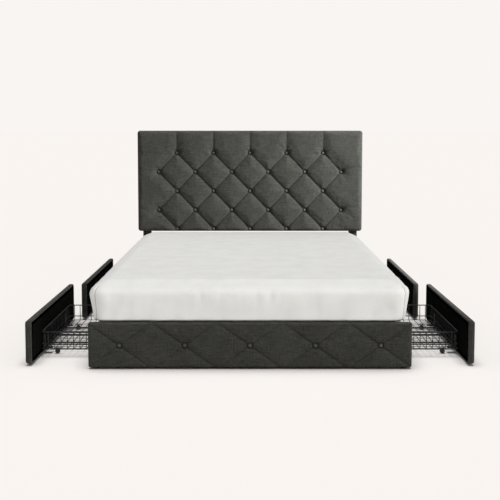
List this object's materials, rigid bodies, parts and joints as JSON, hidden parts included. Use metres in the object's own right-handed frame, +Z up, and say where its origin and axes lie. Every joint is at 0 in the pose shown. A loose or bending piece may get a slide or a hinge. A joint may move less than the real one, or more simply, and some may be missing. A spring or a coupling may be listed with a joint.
{
  "type": "platform bed with storage drawers",
  "caption": "Upholstered platform bed with a button-tufted headboard, a quilted footboard, a mattress on slats and rolling wire-basket storage drawers under both sides.",
  "frame": {"origin": "on the floor, at the middle of the bed as it stands with its drawers part open", "axes": "+Z up, +Y from the foot end to the headboard, +X to the right as seen from the foot end"},
  "size_m": [2.252, 2.194, 1.174],
  "materials": {
    "upholstery": "matte",
    "upholstery_buttons": "matte",
    "dust_cloth": "matte",
    "black_steel": "satin",
    "plywood": "satin",
    "feet_plastic": "matte",
    "wheel_nylon": "satin",
    "sheet_cotton": "matte",
    "mattress_ticking": "matte",
    "webbing": "matte",
    "post_lacquer": "satin",
    "zinc_bolts": "satin",
    "slat_wood": "satin",
    "front_back_cloth": "matte",
    "basket_wire": "satin",
    "caster_steel": "satin"
  },
  "bodies": {
    "bed_frame": {"headboard_board": "plywood", "headboard_pad": "upholstery", "headboard_buttons": "upholstery_buttons", "headboard_back_cloth": "dust_cloth", "headboard_posts": "post_lacquer", "headboard_bolts": "zinc_bolts", "footboard_board": "plywood", "footboard_pad": "upholstery", "footboard_buttons": "upholstery_buttons", "footboard_back_cloth": "dust_cloth", "side_rail_left": "black_steel", "side_rail_right": "black_steel", "centre_rail": "black_steel", "foot_rail": "black_steel", "head_rail": "black_steel", "corner_brackets": "black_steel", "frame_bolts": "zinc_bolts", "support_legs": "black_steel", "feet": "feet_plastic", "slats": "slat_wood", "slat_straps": "webbing", "mattress": "mattress_ticking", "fitted_sheet": "sheet_cotton"},
    "foot_left_drawer": {"foot_left_front_board": "front_back_cloth", "foot_left_front_pad": "upholstery", "foot_left_basket_floor": "basket_wire", "foot_left_basket_walls": "basket_wire", "foot_left_brackets": "black_steel", "foot_left_screws": "zinc_bolts", "foot_left_forks": "caster_steel"},
    "foot_left_outer_wheel_pair": {"foot_left_outer_wheels": "wheel_nylon"},
    "foot_left_inner_wheel_pair": {"foot_left_inner_wheels": "wheel_nylon"},
    "foot_right_drawer": {"foot_right_front_board": "front_back_cloth", "foot_right_front_pad": "upholstery", "foot_right_basket_floor": "basket_wire", "foot_right_basket_walls": "basket_wire", "foot_right_brackets": "black_steel", "foot_right_screws": "zinc_bolts", "foot_right_forks": "caster_steel"},
    "foot_right_outer_wheel_pair": {"foot_right_outer_wheels": "wheel_nylon"},
    "foot_right_inner_wheel_pair": {"foot_right_inner_wheels": "wheel_nylon"},
    "head_left_drawer": {"head_left_front_board": "front_back_cloth", "head_left_front_pad": "upholstery", "head_left_basket_floor": "basket_wire", "head_left_basket_walls": "basket_wire", "head_left_brackets": "black_steel", "head_left_screws": "zinc_bolts", "head_left_forks": "caster_steel"},
    "head_left_outer_wheel_pair": {"head_left_outer_wheels": "wheel_nylon"},
    "head_left_inner_wheel_pair": {"head_left_inner_wheels": "wheel_nylon"},
    "head_right_drawer": {"head_right_front_board": "front_back_cloth", "head_right_front_pad": "upholstery", "head_right_basket_floor": "basket_wire", "head_right_basket_walls": "basket_wire", "head_right_brackets": "black_steel", "head_right_screws": "zinc_bolts", "head_right_forks": "caster_steel"},
    "head_right_outer_wheel_pair": {"head_right_outer_wheels": "wheel_nylon"},
    "head_right_inner_wheel_pair": {"head_right_inner_wheels": "wheel_nylon"}
  },
  "joints": [
    {"name": "foot_left_drawer_slide", "type": "slide", "parent": "bed_frame", "child": "foot_left_drawer", "axis": [-1, 0, 0], "range_m": [-0.326, 0.204]},
    {"name": "foot_left_outer_wheel_spin", "type": "hinge", "parent": "foot_left_drawer", "child": "foot_left_outer_wheel_pair", "pos_m": [-1.018, -0.53575, 0.013], "axis": [0, 1, 0], "continuous": true},
    {"name": "foot_left_inner_wheel_spin", "type": "hinge", "parent": "foot_left_drawer", "child": "foot_left_inner_wheel_pair", "pos_m": [-0.558, -0.53575, 0.013], "axis": [0, 1, 0], "continuous": true},
    {"name": "foot_right_drawer_slide", "type": "slide", "parent": "bed_frame", "child": "foot_right_drawer", "axis": [1, 0, 0], "range_m": [-0.326, 0.204]},
    {"name": "foot_right_outer_wheel_spin", "type": "hinge", "parent": "foot_right_drawer", "child": "foot_right_outer_wheel_pair", "pos_m": [1.018, -0.53575, 0.013], "axis": [0, 1, 0], "continuous": true},
    {"name": "foot_right_inner_wheel_spin", "type": "hinge", "parent": "foot_right_drawer", "child": "foot_right_inner_wheel_pair", "pos_m": [0.558, -0.53575, 0.013], "axis": [0, 1, 0], "continuous": true},
    {"name": "head_left_drawer_slide", "type": "slide", "parent": "bed_frame", "child": "head_left_drawer", "axis": [-1, 0, 0], "range_m": [-0.25, 0.28]},
    {"name": "head_left_outer_wheel_spin", "type": "hinge", "parent": "head_left_drawer", "child": "head_left_outer_wheel_pair", "pos_m": [-0.942, 0.48675, 0.013], "axis": [0, 1, 0], "continuous": true},
    {"name": "head_left_inner_wheel_spin", "type": "hinge", "parent": "head_left_drawer", "child": "head_left_inner_wheel_pair", "pos_m": [-0.482, 0.48675, 0.013], "axis": [0, 1, 0], "continuous": true},
    {"name": "head_right_drawer_slide", "type": "slide", "parent": "bed_frame", "child": "head_right_drawer", "axis": [1, 0, 0], "range_m": [-0.25, 0.28]},
    {"name": "head_right_outer_wheel_spin", "type": "hinge", "parent": "head_right_drawer", "child": "head_right_outer_wheel_pair", "pos_m": [0.942, 0.48675, 0.013], "axis": [0, 1, 0], "continuous": true},
    {"name": "head_right_inner_wheel_spin", "type": "hinge", "parent": "head_right_drawer", "child": "head_right_inner_wheel_pair", "pos_m": [0.482, 0.48675, 0.013], "axis": [0, 1, 0], "continuous": true}
  ]
}
